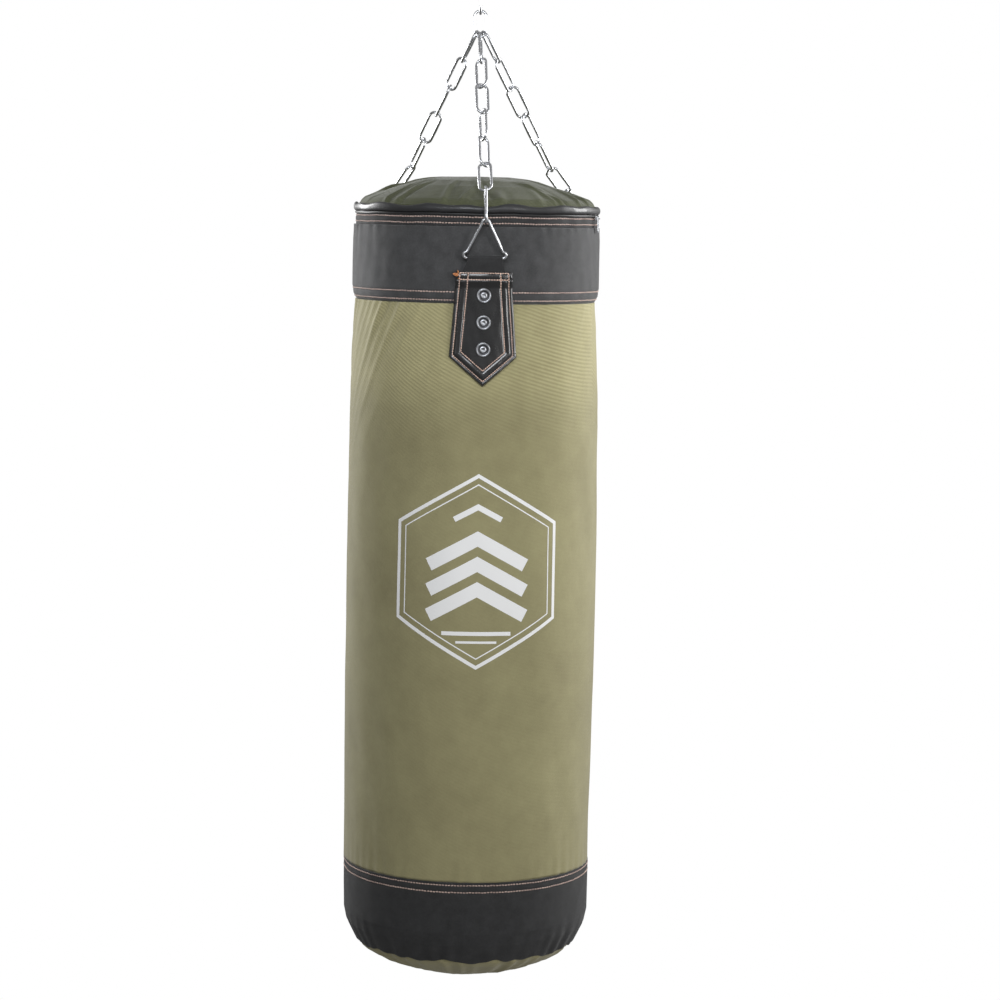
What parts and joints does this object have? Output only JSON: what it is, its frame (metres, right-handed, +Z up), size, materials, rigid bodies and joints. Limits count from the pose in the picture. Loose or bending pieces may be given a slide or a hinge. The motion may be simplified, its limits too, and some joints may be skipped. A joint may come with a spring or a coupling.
{
  "type": "heavy punching bag",
  "caption": "Heavy punching bag: a padded canvas cylinder with black bands, hung by riveted leather straps, chain legs and a swivel snap hook.",
  "frame": {"origin": "the hang point: inside top of the snap hook's bow", "axes": "+Z up along the bag's axis, -Y out of the bag's front, +X to the right of someone who faces the front"},
  "size_m": [0.3256, 0.3438, 1.3849],
  "materials": {
    "olive_canvas": "matte",
    "lid_fabric": "matte",
    "black_fabric": "matte",
    "black_vinyl": "gloss",
    "black_leather": "satin",
    "zinc_chain": "satin",
    "forged_steel": "satin",
    "rivet_metal": "polished",
    "zip_nylon": "satin",
    "foam": "matte",
    "textile_fill": "matte"
  },
  "bodies": {
    "hook": {"hook_body": "forged_steel", "gate_pin": "forged_steel", "gate_spring": "forged_steel"},
    "gate": {"hook_gate": "forged_steel"},
    "swivel": {"swivel_eye": "forged_steel"},
    "upper": {"upper_link": "zinc_chain"},
    "junction": {"junction_link": "zinc_chain"},
    "bag": {"canvas_body": "olive_canvas", "top_band": "black_fabric", "bottom_band": "black_fabric", "top_lid": "lid_fabric", "base_panel": "lid_fabric", "rim_piping": "black_vinyl", "zip_coil": "zip_nylon", "binding_tape": "black_fabric", "foam_liner": "foam", "filling": "textile_fill", "front_strap": "black_leather", "left_strap": "black_leather", "right_strap": "black_leather", "front_loop": "black_fabric", "left_loop": "black_fabric", "right_loop": "black_fabric", "front_rivet_1": "rivet_metal", "front_rivet_2": "rivet_metal", "front_rivet_3": "rivet_metal", "left_rivet_1": "rivet_metal", "left_rivet_2": "rivet_metal", "left_rivet_3": "rivet_metal", "right_rivet_1": "rivet_metal", "right_rivet_2": "rivet_metal", "right_rivet_3": "rivet_metal", "front_ring": "zinc_chain", "left_ring": "zinc_chain", "right_ring": "zinc_chain", "front_link_1": "zinc_chain", "front_link_2": "zinc_chain", "front_link_3": "zinc_chain", "front_link_4": "zinc_chain", "front_link_5": "zinc_chain", "front_link_6": "zinc_chain", "front_link_7": "zinc_chain", "left_link_1": "zinc_chain", "left_link_2": "zinc_chain", "left_link_3": "zinc_chain", "left_link_4": "zinc_chain", "left_link_5": "zinc_chain", "left_link_6": "zinc_chain", "left_link_7": "zinc_chain", "right_link_1": "zinc_chain", "right_link_2": "zinc_chain", "right_link_3": "zinc_chain", "right_link_4": "zinc_chain", "right_link_5": "zinc_chain", "right_link_6": "zinc_chain", "right_link_7": "zinc_chain"},
    "slider": {"zip_slider": "rivet_metal"},
    "pull": {"zip_pull": "rivet_metal"}
  },
  "joints": [
    {"name": "gate_hinge", "type": "hinge", "parent": "hook", "child": "gate", "pos_m": [0.0155, 0, -0.0545], "axis": [0, -1, 0], "range_deg": [0, 26], "stiffness_Nm_per_rad": 0.02, "springref_deg": -28.65},
    {"name": "swivel_turn", "type": "hinge", "parent": "hook", "child": "swivel", "pos_m": [0, 0, -0.0595], "axis": [0, 0, 1], "continuous": true},
    {"name": "upper_swing", "type": "hinge", "parent": "swivel", "child": "upper", "pos_m": [0, 0, -0.0965], "axis": [1, 0, 0], "range_deg": [-30, 30]},
    {"name": "junction_swing", "type": "hinge", "parent": "upper", "child": "junction", "pos_m": [0, 0, -0.1249], "axis": [0, 1, 0], "range_deg": [-30, 30]},
    {"name": "bag_tilt", "type": "hinge", "parent": "junction", "child": "bag", "pos_m": [0, 0, -0.1542], "axis": [1, 0, 0], "range_deg": [-8, 8]},
    {"name": "zip_run", "type": "hinge", "parent": "bag", "child": "slider", "pos_m": [0, 0, -0.3809], "axis": [0, 0, 1], "range_deg": [-54, 34]},
    {"name": "pull_flap", "type": "hinge", "parent": "slider", "child": "pull", "pos_m": [0.15515, -0.04449, -0.3832], "axis": [-0.2756, -0.9613, 0], "range_deg": [0, 35]}
  ]
}
